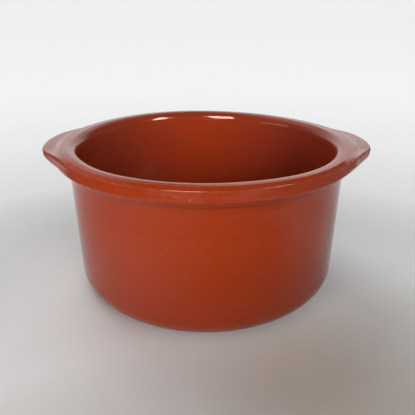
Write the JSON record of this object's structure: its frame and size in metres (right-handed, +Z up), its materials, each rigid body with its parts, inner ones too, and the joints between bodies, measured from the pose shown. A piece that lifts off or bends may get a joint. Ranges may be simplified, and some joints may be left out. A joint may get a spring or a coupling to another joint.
{
  "type": "clay baking dish",
  "caption": "Round, deep glazed clay baking dish with a slightly tapered wall, a rolled rim and a flat lug handle on each side, for oven cooking and serving.",
  "frame": {"origin": "centre of the foot, on the surface that the dish stands on", "axes": "+Z up out of the mouth, +X through the right lug, -Y towards the front"},
  "size_m": [0.259, 0.233, 0.119],
  "materials": {
    "glazed_clay": "clear gloss glaze over red clay",
    "foot_clay": "clear gloss glaze over red clay, bare on the foot"
  },
  "bodies": {
    "root": {"base_slab": "foot_clay", "side_wall": "glazed_clay", "rim_collar": "glazed_clay", "lug_handle_left": "glazed_clay", "lug_handle_right": "glazed_clay"}
  },
  "joints": []
}
